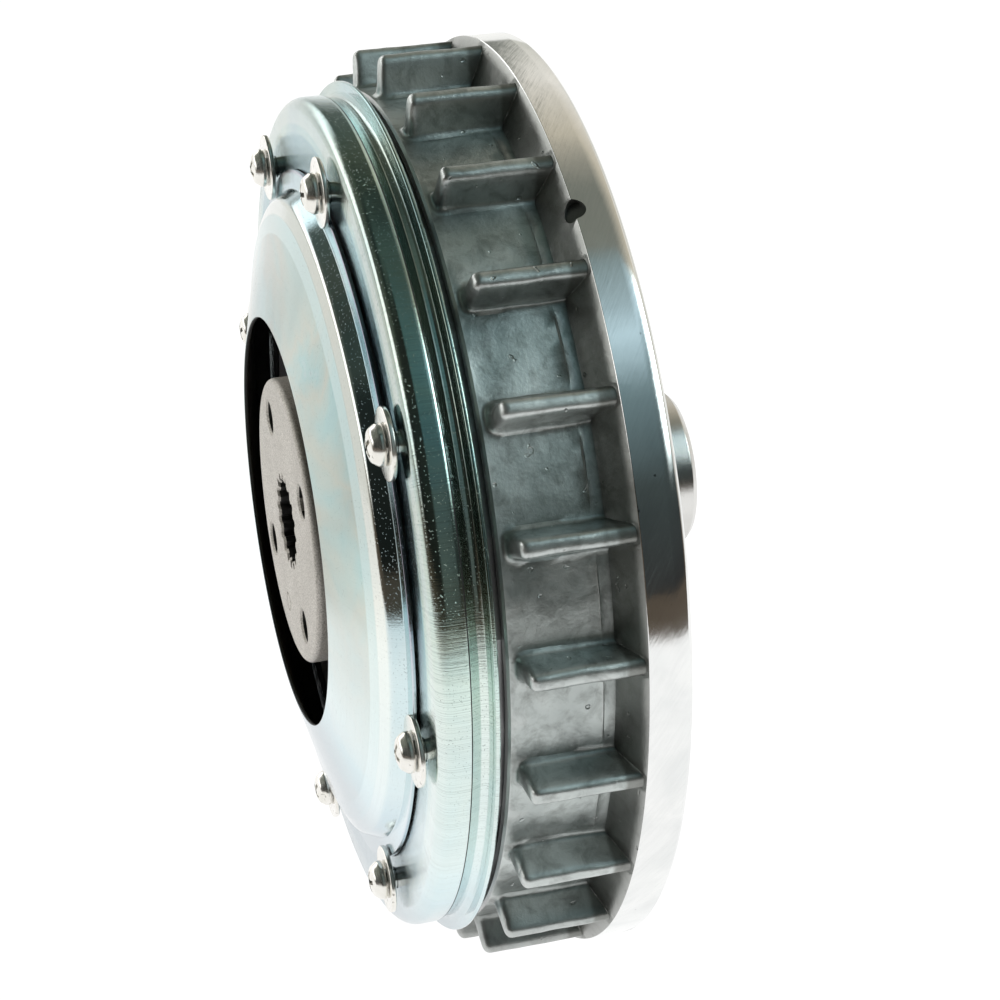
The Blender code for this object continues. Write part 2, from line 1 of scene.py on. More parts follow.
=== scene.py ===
"""Detailed look of a magnetic-powder electromagnetic clutch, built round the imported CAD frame.

Lengths are in millimetres until at() turns them into metres. A station runs forward along the spin
axis from the rear edge of the finned rim towards the splined hub, which faces world -Y. Angles are
measured round the spin axis from straight up towards +X.
"""
import math

import bmesh
import bpy
from mathutils import Matrix, Vector, noise


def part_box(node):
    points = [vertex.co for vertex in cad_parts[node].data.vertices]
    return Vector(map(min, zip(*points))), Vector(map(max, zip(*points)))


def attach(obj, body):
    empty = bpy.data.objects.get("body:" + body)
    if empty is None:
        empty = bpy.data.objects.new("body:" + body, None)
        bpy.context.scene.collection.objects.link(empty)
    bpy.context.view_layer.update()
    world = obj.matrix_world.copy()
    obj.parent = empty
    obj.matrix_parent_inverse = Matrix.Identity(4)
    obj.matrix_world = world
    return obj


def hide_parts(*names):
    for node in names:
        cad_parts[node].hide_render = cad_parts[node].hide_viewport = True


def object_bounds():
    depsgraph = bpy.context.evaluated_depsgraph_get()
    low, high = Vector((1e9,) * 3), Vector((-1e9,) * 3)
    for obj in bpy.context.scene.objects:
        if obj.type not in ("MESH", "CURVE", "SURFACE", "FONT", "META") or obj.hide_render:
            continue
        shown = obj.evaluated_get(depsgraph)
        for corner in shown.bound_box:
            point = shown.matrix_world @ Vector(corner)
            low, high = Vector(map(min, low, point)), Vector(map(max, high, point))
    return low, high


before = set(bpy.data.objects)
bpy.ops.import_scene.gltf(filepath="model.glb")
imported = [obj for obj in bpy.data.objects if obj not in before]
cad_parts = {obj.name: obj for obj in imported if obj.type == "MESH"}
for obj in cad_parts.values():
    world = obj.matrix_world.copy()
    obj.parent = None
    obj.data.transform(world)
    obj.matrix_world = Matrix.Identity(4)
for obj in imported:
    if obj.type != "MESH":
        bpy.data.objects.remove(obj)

CAD_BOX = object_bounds()
REAR_EDGE_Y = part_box("finned_housing")[1][1]
FLOOR_Z = CAD_BOX[0][2]

SEGMENTS = 288
SHARP_ANGLE = math.radians(32.0)

FIXED = "drive_member"
TURNING = "driven_rotor"

# ---- sizes shared with the CAD, mm ------------------------------------------------------------
FIN_COUNT = 24
FIN_PHASE = 5.4
HALF_PITCH = 180.0 / FIN_COUNT
RIM_RADIUS = 115.0
RIM_FRONT = 10.1
WALL_FOOT_RADIUS = 105.1
WALL_FOOT = 14.4
DRUM_REAR_RADIUS = 104.85
DRUM_FRONT_RADIUS = 104.35
DRUM_FRONT = 38.8
DRUM_BORE = 101.3
HOUSING_BORE = 86.0
HOUSING_FLOOR = 7.0
FIN_TOP = 114.1
FIN_CENTRE = 33.7
RIM_CHAMFER = 0.12
SCREW_COUNT = 8
SCREW_CIRCLE = 91.7
SCREW_TOP = 61.1
REAR_SCREW_COUNT = 6
REAR_SCREW_CIRCLE = 92.5
REAR_SCREW_PHASE = 30.0
TAP_COUNT = 6
TAP_CIRCLE = 60.0
HUB_HOLE_COUNT = 4
HUB_HOLE_CIRCLE = 26.8
HUB_HOLE_PHASE = 45.0 + FIN_PHASE
SPLINE_TEETH = 18
SPLINE_ROOT = 11.8
SPLINE_TIP = 10.3
BALANCE_ANGLE = 28.4
BALANCE_RADIUS = 2.9


def at(radius, degrees, station):
    """The world point, in metres, of a radius and angle round the spin axis at a station."""
    turn = math.radians(degrees)
    return Vector((radius * math.sin(turn) / 1000, REAR_EDGE_Y - station / 1000,
                   radius * math.cos(turn) / 1000))


# ---- mesh helpers -----------------------------------------------------------------------------
def rounded(corners, closed=True, steps=5):
    """(radius, station, fillet) corners as outline points, each filleted corner as a short arc."""
    points = []
    count = len(corners)
    for index, (radius, station, fillet) in enumerate(corners):
        here = Vector((radius, station))
        if fillet <= 0 or (not closed and index in (0, count - 1)):
            points.append(tuple(here))
            continue
        before = Vector(corners[index - 1][:2]) - here
        after = Vector(corners[(index + 1) % count][:2]) - here
        half = before.angle(after) / 2
        reach = min(fillet / math.tan(half), before.length * 0.49, after.length * 0.49)
        bend = reach * math.tan(half)
        centre = here + (before.normalized() + after.normalized()).normalized() * (bend / math.sin(half))
        start = here + before.normalized() * reach - centre
        end = here + after.normalized() * reach - centre
        first = math.atan2(start.y, start.x)
        sweep = (math.atan2(end.y, end.x) - first + math.pi) % math.tau - math.pi
        for step in range(steps + 1):
            turn = first + sweep * step / steps
            points.append((centre.x + bend * math.cos(turn), centre.y + bend * math.sin(turn)))
    return points


def smooth_edges(mesh):
    """Smooth shading that keeps the edges sharper than SHARP_ANGLE."""
    mesh.shade_smooth()
    mesh.set_sharp_from_angle(angle=SHARP_ANGLE)


def make_object(name, verts, faces, materials, weld=False):
    """A mesh object with outward normals and its material slots filled."""
    mesh = bpy.data.meshes.new(name)
    mesh.from_pydata([tuple(vert) for vert in verts], [], faces)
    shape = bmesh.new()
    shape.from_mesh(mesh)
    if weld:
        bmesh.ops.remove_doubles(shape, verts=shape.verts, dist=2e-6)
    bmesh.ops.recalc_face_normals(shape, faces=shape.faces)
    shape.to_mesh(mesh)
    shape.free()
    for material in materials:
        mesh.materials.append(material)
    smooth_edges(mesh)
    item = bpy.data.objects.new(name, mesh)
    bpy.context.scene.collection.objects.link(item)
    return item


def lathe(name, outline, materials, segments=SEGMENTS, closed=True, centre=(0.0, 0.0)):
    """The outline turned round the spin axis, or round a parallel axis at centre = (circle, degrees)."""
    verts = []
    rings = []
    middle = at(centre[0], centre[1], 0.0)
    middle.y = 0.0
    for radius, station in outline:
        if radius < 1e-4:
            rings.append([len(verts)])
            verts.append(at(0.0, 0.0, station) + middle)
            continue
        rings.append(list(range(len(verts), len(verts) + segments)))
        for index in range(segments):
            verts.append(at(radius, 360.0 * index / segments, station) + middle)
    pairs = list(zip(rings, rings[1:]))
    if closed:
        pairs.append((rings[-1], rings[0]))
    faces = []
    for low, high in pairs:
        for index in range(segments):
            following = (index + 1) % segments
            if len(low) == 1 and len(high) == 1:
                continue
            if len(low) == 1:
                faces.append((low[0], high[index], high[following]))
            elif len(high) == 1:
                faces.append((low[index], low[following], high[0]))
            else:
                faces.append((low[index], low[following], high[following], high[index]))
    return make_object(name, verts, faces, materials)


def paint(item, choose):
    """Sets each face's material slot from its centre's radius and station and its normal."""
    for face in item.data.polygons:
        centre = face.center
        radius = math.hypot(centre.x, centre.z) * 1000
        station = (REAR_EDGE_Y - centre.y) * 1000
        outward = (face.normal.x * centre.x + face.normal.z * centre.z) / max(radius / 1000, 1e-6)
        face.material_index = choose(radius, station, outward, -face.normal.y)


def carve(item, cutters):
    """Subtracts the cutters from the piece and keeps only the result."""
    for cutter in cutters:
        boolean = item.modifiers.new("cut", "BOOLEAN")
        boolean.operation = "DIFFERENCE"
        boolean.solver = "EXACT"
        boolean.object = cutter
    graph = bpy.context.evaluated_depsgraph_get()
    mesh = bpy.data.meshes.new_from_object(item.evaluated_get(graph))
    item.modifiers.clear()
    item.data = mesh
    smooth_edges(mesh)
    for cutter in cutters:
        bpy.data.objects.remove(cutter, do_unlink=True)
    return item


def join(name, items):
    """Several meshes as one object."""
    shape = bmesh.new()
    for item in items:
        shape.from_mesh(item.data)
    mesh = bpy.data.meshes.new(name)
    shape.to_mesh(mesh)
    shape.free()
    for item in items:
        bpy.data.objects.remove(item, do_unlink=True)
    joined = bpy.data.objects.new(name, mesh)
    bpy.context.scene.collection.objects.link(joined)
    return joined


def drills(name, outline, circle, angles, segments=32):
    """One cutter that has a turned drill shape at every angle of a pitch circle."""
    bits = [lathe(f"{name}_{index}", outline, [], segments, closed=False, centre=(circle, degrees))
            for index, degrees in enumerate(angles)]
    return join(name, bits)


def even_angles(count, start=0.0):
    """Angles of a pitch circle with count equal steps."""
    return [start + 360.0 * index / count for index in range(count)]


REAR_SCREW_ANGLES = even_angles(REAR_SCREW_COUNT, REAR_SCREW_PHASE)
COVER_SCREW_ANGLES = even_angles(SCREW_COUNT, FIN_PHASE)


def settle(item, body, slot, *nodes):
    """Puts a piece on its body and hides the CAD nodes whose place it takes; slot is not used."""
    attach(item, body)
    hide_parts(*nodes)
    return item


# ---- node helpers -----------------------------------------------------------------------------
class NodeTree:
    """Shorthands for building a node tree that reads one kind of texture coordinates."""

    def __init__(self, tree, coordinates):
        self.tree = tree
        self.coordinates = tree.nodes.new("ShaderNodeTexCoord").outputs[coordinates]

    def put(self, socket, value):
        """Links a socket to another, or sets its value."""
        if isinstance(value, bpy.types.NodeSocket):
            self.tree.links.new(value, socket)
        elif isinstance(value, tuple) and len(value) == 3 and socket.type == "RGBA":
            socket.default_value = (*value, 1.0)
        else:
            socket.default_value = value

    def math(self, operation, first, second=0.0, third=0.0):
        node = self.tree.nodes.new("ShaderNodeMath")
        node.operation = operation
        for socket, value in zip(node.inputs, (first, second, third)):
            self.put(socket, value)
        return node.outputs[0]

    def vector(self, x, y, z):
        node = self.tree.nodes.new("ShaderNodeCombineXYZ")
        for socket, value in zip(node.inputs, (x, y, z)):
            self.put(socket, value)
        return node.outputs[0]

    def split(self):
        node = self.tree.nodes.new("ShaderNodeSeparateXYZ")
        self.put(node.inputs[0], self.coordinates)
        return node.outputs

    def cylinder(self):
        """Radius, unit x, unit z and y of the point, in metres round the spin axis."""
        x, y, z = self.split()
        squares = self.math("ADD", self.math("MULTIPLY", x, x), self.math("MULTIPLY", z, z))
        radius = self.math("SQRT", squares)
        return radius, self.math("DIVIDE", x, radius), self.math("DIVIDE", z, radius), y

    def noise(self, scale, detail=2.0, vector=None, w=None, distortion=0.0, rough=0.5):
        node = self.tree.nodes.new("ShaderNodeTexNoise")
        if w is not None:
            node.noise_dimensions = "4D"
            self.put(node.inputs["W"], w)
        self.put(node.inputs["Vector"], vector or self.coordinates)
        self.put(node.inputs["Scale"], scale)
        self.put(node.inputs["Detail"], detail)
        self.put(node.inputs["Roughness"], rough)
        self.put(node.inputs["Distortion"], distortion)
        return node.outputs["Fac"]

    def ramp(self, value, *stops):
        """Maps a value through (position, colour or grey) stops."""
        node = self.tree.nodes.new("ShaderNodeValToRGB")
        self.put(node.inputs[0], value)
        elements = node.color_ramp.elements
        while len(elements) < len(stops):
            elements.new(0.5)
        for element, (position, colour) in zip(elements, stops):
            element.position = position
            if not isinstance(colour, tuple):
                colour = (colour, colour, colour)
            element.color = (*colour, 1.0)
        return node.outputs[0]

    def span(self, value, low, high, to_low=0.0, to_high=1.0):
        """A smooth step from to_low at low to to_high at high."""
        node = self.tree.nodes.new("ShaderNodeMapRange")
        node.interpolation_type = "SMOOTHSTEP"
        for socket, item in zip(node.inputs, (value, low, high, to_low, to_high)):
            self.put(socket, item)
        return node.outputs[0]

    def mix(self, share, first, second, blend="MIX"):
        node = self.tree.nodes.new("ShaderNodeMix")
        node.data_type = "RGBA"
        node.blend_type = blend
        self.put(node.inputs[0], share)
        self.put(node.inputs[6], first)
        self.put(node.inputs[7], second)
        return node.outputs[2]

    def bump(self, height, strength, distance, under=None):
        node = self.tree.nodes.new("ShaderNodeBump")
        self.put(node.inputs["Height"], height)
        self.put(node.inputs["Strength"], strength)
        self.put(node.inputs["Distance"], distance)
        if under is not None:
            self.put(node.inputs["Normal"], under)
        return node.outputs[0]


class Look(NodeTree):
    """A Principled material that is built from the point's place on the object."""

    def __init__(self, name, metallic=0.0, roughness=0.5):
        self.material = bpy.data.materials.new(name)
        self.material.use_nodes = True
        super().__init__(self.material.node_tree, "Object")
        self.shader = self.tree.nodes["Principled BSDF"]
        self.shader.inputs["Metallic"].default_value = metallic
        self.shader.inputs["Roughness"].default_value = roughness

    def set(self, **values):
        for name, value in values.items():
            self.put(self.shader.inputs[name.replace("_", " ")], value)
        return self.material


# ---- materials --------------------------------------------------------------------------------
def cast_look():
    """Die-cast aluminium: a satin grey skin with stains, flow marks and pits, painted shade in the corners,
    on the underside and on the sloping rim wall, and edges lighter partly from wear and partly as painted
    highlight.
    """
    look = Look("cast_aluminium_skin", metallic=0.92)
    clouds = look.noise(42.0, 4.0, distortion=0.4)
    streaks = look.noise(210.0, 5.0, distortion=0.5, rough=0.65)
    unit_z, y = look.cylinder()[2:]
    base = look.ramp(clouds, (0.3, (0.42, 0.455, 0.445)), (0.5, (0.53, 0.57, 0.555)),
                     (0.7, (0.64, 0.67, 0.655)))
    base = look.mix(look.ramp(streaks, (0.45, 0.0), (0.75, 0.8)), base, (0.19, 0.20, 0.19))
    # Painted shade: the underside darker towards the bottom.
    under = look.math("MULTIPLY", look.span(unit_z, -0.95, -0.35, 1.0, 0.0), 0.55)
    base = look.mix(under, base, (0.17, 0.165, 0.155))
    # Painted shade on the sloping wall between rim and drum.
    foot = REAR_EDGE_Y - WALL_FOOT / 1000
    rim_wall_shade = look.span(y, foot - 0.0008, foot + 0.0006)
    base = look.mix(look.math("MULTIPLY", rim_wall_shade, 0.75), base, (0.17, 0.17, 0.155))
    geometry = look.tree.nodes.new("ShaderNodeNewGeometry")
    # Painted highlight on convex edges, partly also wear: lighter where the surface is pointy.
    edges = look.ramp(geometry.outputs["Pointiness"], (0.508, 0.0), (0.56, 1.0))
    base = look.mix(look.math("MULTIPLY", edges, 0.5), base, (0.80, 0.80, 0.785))
    # Painted shade in corners and creases, where the surface is hollow.
    corners = look.ramp(geometry.outputs["Pointiness"], (0.43, 1.0), (0.493, 0.0))
    base = look.mix(look.math("MULTIPLY", corners, 0.85), base, (0.03, 0.03, 0.028))
    rough = look.ramp(clouds, (0.3, 0.31), (0.7, 0.41))
    peel = look.bump(look.noise(1500.0, 3.0), 0.3, 0.00015)
    soft = look.bump(look.noise(110.0, 2.0), 0.3, 0.0009, peel)
    flow = look.bump(streaks, 0.25, 0.0003, soft)
    pits = look.ramp(look.noise(380.0, 1.0), (0.22, 0.0), (0.27, 1.0))
    pitted = look.bump(pits, 0.7, 0.0003, flow)
    return look.set(Base_Color=base, Roughness=rough, Normal=pitted)


def machined_look():
    """Bright machined rim: mirror-like with fine slanting polishing lines and a few nicks."""
    look = Look("machined_rim", metallic=1.0)
    radius, unit_x, unit_z, y = look.cylinder()
    turn = look.math("ARCTAN2", unit_x, unit_z)
    along = look.math("MULTIPLY", turn, RIM_RADIUS / 1000)
    slanting = look.vector(look.math("ADD", look.math("MULTIPLY", along, 0.6), y),
                           look.math("MULTIPLY", look.math("SUBTRACT", along, y), 0.08), radius)
    lines = look.noise(1500.0, 2.0, slanting)
    broad = look.noise(60.0, 3.0, distortion=0.8)
    base = look.ramp(broad, (0.3, (0.76, 0.77, 0.765)), (0.7, (0.88, 0.88, 0.87)))
    base = look.mix(look.ramp(lines, (0.35, 0.1), (0.6, 0.0)), base, (0.6, 0.6, 0.6))
    nicks = look.ramp(look.noise(320.0, 2.0, distortion=0.4), (0.2, 1.0), (0.25, 0.0))
    base = look.mix(nicks, base, (0.12, 0.12, 0.12))
    rough = look.ramp(broad, (0.3, 0.06), (0.7, 0.12))
    fine = look.bump(lines, 0.08, 0.00008)
    wavy = look.bump(look.noise(110.0, 3.0), 0.09, 0.0004, fine)
    return look.set(Base_Color=base, Roughness=rough, Normal=wavy)


def zinc_look(name, tint_low, tint_mid, tint_high, streak, zones):
    """Blue-white passivated zinc: mirror bright with soft rainbow clouds and fine drawn streaks.

    zones lists (inner radius, outer radius, share, colour) bands of another colour: the shoulders' pale
    bands are painted highlight and the ring's teal face is partly the passivate film's blue and partly
    painted reflection.
    The colour also runs from duller at the top through white and blue to grey at the bottom: painted shade
    at the top and the very bottom, painted reflection and sheen in between.
    """
    look = Look(name, metallic=1.0)
    radius, unit_x, unit_z, y = look.cylinder()
    clouds = look.noise(22.0, 4.0, distortion=0.9)
    rainbow = look.ramp(clouds, (0.26, tint_low), (0.42, tint_mid), (0.55, tint_high), (0.66, tint_mid),
                        (0.78, (0.80, 0.78, 0.83)))
    dull = look.ramp(look.noise(17.0, 3.0, distortion=0.6), (0.36, 0.62), (0.5, 0.86), (0.62, 1.0))
    rainbow = look.mix(1.0, rainbow, dull, "MULTIPLY")
    for inner, outer, share, colour in zones:
        inner, outer = inner / 1000, outer / 1000
        band = look.math("MULTIPLY", look.span(radius, inner - 0.0006, inner + 0.0002),
                         look.span(radius, outer - 0.0004, outer + 0.0008, 1.0, 0.0))
        rainbow = look.mix(look.math("MULTIPLY", band, share), rainbow, colour)
    # Painted reflection: the lower half paler and bluer.
    low = look.math("MULTIPLY", look.span(unit_z, -0.6, 0.1, 1.0, 0.0), 0.7)
    rainbow = look.mix(low, rainbow, (0.70, 0.84, 0.90))
    # Painted sheen: a whiter band a little below the middle.
    bright = look.math("MULTIPLY", look.span(unit_z, -0.6, -0.35),
                       look.span(unit_z, 0.0, 0.3, 1.0, 0.0))
    rainbow = look.mix(look.math("MULTIPLY", bright, 0.5), rainbow, (0.88, 0.96, 0.94))
    # Painted shade: grey at the very bottom.
    bottom_shade = look.math("MULTIPLY", look.span(unit_z, -0.88, -0.5, 1.0, 0.0), 0.8)
    rainbow = look.mix(bottom_shade, rainbow, (0.37, 0.42, 0.46))
    # Painted shade: the top dimmer.
    upper = look.span(unit_z, 0.1, 0.5, 1.0, 0.74)
    rainbow = look.mix(1.0, rainbow, upper, "MULTIPLY")
    film = look.vector(look.math("MULTIPLY", unit_x, 0.02), radius, look.math("MULTIPLY", unit_z, 0.02))
    rings = look.noise(240.0, 3.0, film, w=look.math("MULTIPLY", y, 240.0))
    base = look.mix(look.ramp(rings, (0.35, 0.15), (0.6, 0.0)), rainbow, (0.48, 0.56, 0.56))
    specks = look.ramp(look.noise(2300.0, 0.0), (0.745, 0.0), (0.79, 1.0))
    drawn = look.vector(look.math("MULTIPLY", unit_x, 9.0), look.math("MULTIPLY", y, 0.5),
                        look.math("MULTIPLY", unit_z, 9.0))
    streaks = look.noise(60.0, 4.0, drawn, rough=0.6)
    lines = look.ramp(streaks, (0.34, 1.0), (0.46, 0.3), (0.56, 0.0))
    shown = look.math("MULTIPLY", look.span(unit_z, -0.55, 0.1, 0.3, 1.0), streak)
    base = look.mix(look.math("MULTIPLY", lines, shown), base, (0.26, 0.33, 0.31))
    rough = look.ramp(clouds, (0.3, 0.06), (0.7, 0.12))
    fine = look.bump(streaks, streak * 0.4, 0.0002)
    grain = look.bump(look.noise(1900.0, 2.0), 0.12, 0.00008, fine)
    waves = look.bump(look.noise(60.0, 2.0), 0.06, 0.0008, grain)
    spotted = look.bump(specks, 0.5, 0.0002, waves)
    return look.set(Base_Color=base, Roughness=rough, Normal=spotted)


def nickel_look():
    """Bright nickel plate with a warm tint and small dark marks."""
    look = Look("bright_nickel", metallic=0.92)
    clouds = look.noise(180.0, 2.0)
    base = look.ramp(clouds, (0.3, (0.80, 0.78, 0.72)), (0.7, (0.92, 0.90, 0.86)))
    marks = look.ramp(look.noise(900.0, 2.0, distortion=0.5), (0.27, 0.7), (0.34, 0.0))
    base = look.mix(marks, base, (0.3, 0.28, 0.24))
    rough = look.ramp(clouds, (0.3, 0.16), (0.7, 0.26))
    return look.set(Base_Color=base, Roughness=rough,
                    Normal=look.bump(look.noise(1500.0, 2.0), 0.06, 0.0001))


def sintered_look():
    """Pressed and sintered iron: beige grey, grainy, with darker pores."""
    look = Look("sintered_iron_face", metallic=0.35)
    grain = look.noise(2600.0, 3.0, rough=0.65)
    clouds = look.noise(90.0, 3.0)
    base = look.ramp(grain, (0.3, (0.25, 0.235, 0.21)), (0.5, (0.54, 0.51, 0.465)),
                     (0.7, (0.76, 0.73, 0.68)))
    base = look.mix(look.ramp(clouds, (0.35, 0.3), (0.65, 0.0)), base, (0.36, 0.335, 0.30))
    rough = look.ramp(grain, (0.3, 0.6), (0.7, 0.42))
    return look.set(Base_Color=base, Roughness=rough, Normal=look.bump(grain, 0.35, 0.0002))


def turned_look(name, low, high, rough_low, rough_high, lines=900.0):
    """Turned metal: concentric tool lines that run round the spin axis."""
    look = Look(name, metallic=1.0)
    radius, unit_x, unit_z, y = look.cylinder()
    round_axis = look.vector(look.math("MULTIPLY", unit_x, 0.002), radius,
                             look.math("MULTIPLY", unit_z, 0.002))
    rings = look.noise(lines, 2.0, round_axis, w=look.math("MULTIPLY", y, lines))
    clouds = look.noise(70.0, 3.0)
    base = look.ramp(clouds, (0.3, low), (0.7, high))
    base = look.mix(look.ramp(rings, (0.35, 0.3), (0.6, 0.0)), base, tuple(value * 0.6 for value in low))
    rough = look.ramp(rings, (0.3, rough_high), (0.7, rough_low))
    return look.set(Base_Color=base, Roughness=rough, Normal=look.bump(rings, 0.15, 0.0001))


def plain_look(name, low, high, scale, metallic, rough_low, rough_high, height=0.2):
    """A simple cloudy and grainy surface for moulded, wound and powder pieces."""
    look = Look(name, metallic=metallic)
    clouds = look.noise(scale, 4.0)
    base = look.ramp(clouds, (0.3, low), (0.7, high))
    rough = look.ramp(clouds, (0.3, rough_low), (0.7, rough_high))
    return look.set(Base_Color=base, Roughness=rough,
                    Normal=look.bump(look.noise(scale * 8, 2.0), height, 0.0002))


CAST = cast_look()
MACHINED = machined_look()
# Dome bands: paler cyan on the bevel, near white on the shoulder as painted highlight, bluer on the wall
# foot and flange, violet at the flange's edge.
ZINC_DOME = zinc_look("zinc_passivate_dome", (0.42, 0.64, 0.70), (0.50, 0.71, 0.69), (0.66, 0.69, 0.60),
                      0.1, ((71.9, 76.3, 0.7, (0.66, 0.82, 0.80)), (76.5, 79.8, 0.85, (0.92, 0.92, 0.86)),
                            (80.0, 86.0, 0.5, (0.46, 0.62, 0.74)), (86.2, 88.0, 0.7, (0.40, 0.36, 0.52))))
# Ring bands: teal on the flat face, partly the film's blue and partly painted reflection; paler on the
# shoulder as painted highlight.
ZINC_RING = zinc_look("zinc_passivate_ring", (0.44, 0.66, 0.70), (0.52, 0.74, 0.72), (0.62, 0.76, 0.66),
                      0.4, ((70.0, 95.5, 0.6, (0.14, 0.40, 0.50)), (98.0, 103.3, 0.4, (0.80, 0.82, 0.76))))
# Near-black zinc for the covers' hidden inner faces: painted shade.
INNER_ZINC = plain_look("shaded_inner_zinc", (0.015, 0.016, 0.016), (0.04, 0.042, 0.04), 200.0, 0.5, 0.45,
                        0.7)
# Near-black steel for the inside of the hub's hole: painted shade.
BORE_STEEL = plain_look("shaded_bore_steel", (0.02, 0.02, 0.02), (0.06, 0.058, 0.055), 400.0, 0.6, 0.4, 0.6)
NICKEL = nickel_look()
SINTERED = sintered_look()
BOSS_STEEL = turned_look("turned_boss_steel", (0.60, 0.59, 0.57), (0.76, 0.75, 0.73), 0.12, 0.22)
FACED_ALUMINIUM = turned_look("faced_aluminium", (0.42, 0.42, 0.42), (0.56, 0.56, 0.55), 0.28, 0.4)
YOKE_STEEL = turned_look("turned_yoke_steel", (0.30, 0.30, 0.31), (0.42, 0.42, 0.42), 0.3, 0.45)
BEARING_STEEL = turned_look("ground_bearing_steel", (0.58, 0.58, 0.60), (0.70, 0.70, 0.71), 0.1, 0.2)
BRASS = turned_look("turned_brass", (0.55, 0.38, 0.16), (0.70, 0.50, 0.24), 0.25, 0.4)
PHENOLIC = plain_look("moulded_phenolic", (0.012, 0.011, 0.010), (0.03, 0.028, 0.026), 300.0, 0.0, 0.4, 0.6)
RUBBER = plain_look("nitrile_rubber", (0.010, 0.010, 0.010), (0.022, 0.022, 0.022), 500.0, 0.0, 0.6, 0.85)
COPPER = plain_look("enamelled_wire", (0.30, 0.10, 0.04), (0.50, 0.19, 0.08), 400.0, 0.6, 0.3, 0.45)
POWDER = plain_look("magnetic_iron_powder", (0.03, 0.03, 0.03), (0.10, 0.10, 0.10), 1500.0, 0.3, 0.8, 0.95,
                    0.6)
BLACK_STEEL = plain_look("blackened_screw_steel", (0.03, 0.03, 0.032), (0.07, 0.07, 0.072), 250.0, 0.8,
                         0.3, 0.5)

KEPT_NODES = {
    "front_yoke": YOKE_STEEL, "rotor_drum": YOKE_STEEL, "outer_snap_ring": YOKE_STEEL,
    "inner_snap_ring": YOKE_STEEL, "coil_bobbin": PHENOLIC, "coil_winding": COPPER, "coil_lead_1": COPPER,
    "coil_lead_2": COPPER, "pole_spacer_ring": BRASS, "magnetic_powder": POWDER, "rear_seal_ring": RUBBER,
    "bearing_outer_race": BEARING_STEEL, "bearing_inner_race": BEARING_STEEL, "bearing_cage": BRASS,
}


def paint_kept_nodes():
    """Gives every CAD node that stays in view its procedural material."""
    looks = dict(KEPT_NODES)
    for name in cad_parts:
        if name.startswith("bearing_ball"):
            looks[name] = BEARING_STEEL
    for name, material in looks.items():
        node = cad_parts[name]
        for index in range(len(node.material_slots)):
            node.material_slots[index].link = "OBJECT"
            node.material_slots[index].material = material


# ---- finned housing ---------------------------------------------------------------------------
# Half of a fin's section from its middle outwards, as (offset, share of the fin's height).
FIN_SECTION = (
    (0.0, 1.0), (0.55, 0.997), (1.05, 0.985), (1.5, 0.958), (1.85, 0.915), (2.1, 0.86), (2.25, 0.79),
    (2.42, 0.60), (2.62, 0.38), (2.82, 0.19), (2.98, 0.10), (3.2, 0.05), (3.55, 0.018), (4.1, 0.0),
)
# Lines between a fin's foot and the middle of the panel, as shares of the way.
BETWEEN_FINS = (0.12, 0.3, 0.52, 0.76, 1.0)
FRONT_TURNS = 8
SQUARENESS = 2.0 / 3.2
# A low ridge that crosses the panels near the rim.
RIDGE_STATION = 17.4
RIDGE_HALF_WIDTH = 0.35
RIDGE_HEIGHT = 0.22
FRONT_ROUND = 0.6
CASTING_SEED = 7


def drum_radius(station):
    """Radius of the slightly tapered panels between the fins."""
    share = (station - WALL_FOOT) / (DRUM_FRONT - WALL_FOOT)
    return DRUM_REAR_RADIUS + (DRUM_FRONT_RADIUS - DRUM_REAR_RADIUS) * min(max(share, 0.0), 1.0)


def wall_radius(station):
    """Radius of the sloping wall that joins the rim to the drum."""
    share = (station - RIM_FRONT) / (WALL_FOOT - RIM_FRONT)
    return RIM_RADIUS - RIM_CHAMFER + (WALL_FOOT_RADIUS - RIM_RADIUS + RIM_CHAMFER) * share


def wall_station(radius):
    """Where the sloping wall has the given radius."""
    share = (RIM_RADIUS - RIM_CHAMFER - radius) / (RIM_RADIUS - RIM_CHAMFER - WALL_FOOT_RADIUS)
    return RIM_FRONT + (WALL_FOOT - RIM_FRONT) * share


def side_stations(height, last):
    """Stations down a fin's side, from the rim's rear edge to the fin's end, and each radius there."""
    crease = wall_station(height)
    soft = min(0.5, 0.5 * (crease - RIM_FRONT))
    rows = [(0.0, RIM_RADIUS - 1.0), (0.12, RIM_RADIUS - 0.82), (0.9, RIM_RADIUS - 0.06),
            (1.05, RIM_RADIUS), (3.5, RIM_RADIUS), (7.0, RIM_RADIUS), (9.6, RIM_RADIUS), (9.95, RIM_RADIUS),
            (RIM_FRONT, RIM_RADIUS - RIM_CHAMFER)]
    for share in (0.3, 0.65, 1.0):
        station = RIM_FRONT + (crease - soft - RIM_FRONT) * share
        rows.append((station, wall_radius(station)))
    rows.append((crease + 0.12 * soft, height + 0.3 * soft))
    rows.append((crease + 1.6 * soft, height))
    begin = RIDGE_STATION + RIDGE_HALF_WIDTH
    rows += [(station, height) for station in (RIDGE_STATION - RIDGE_HALF_WIDTH, RIDGE_STATION, begin)]
    rows += [(begin + (last - begin) * share, height) for share in (0.15, 0.3, 0.45, 0.6, 0.75, 0.88, 1.0)]
    return rows


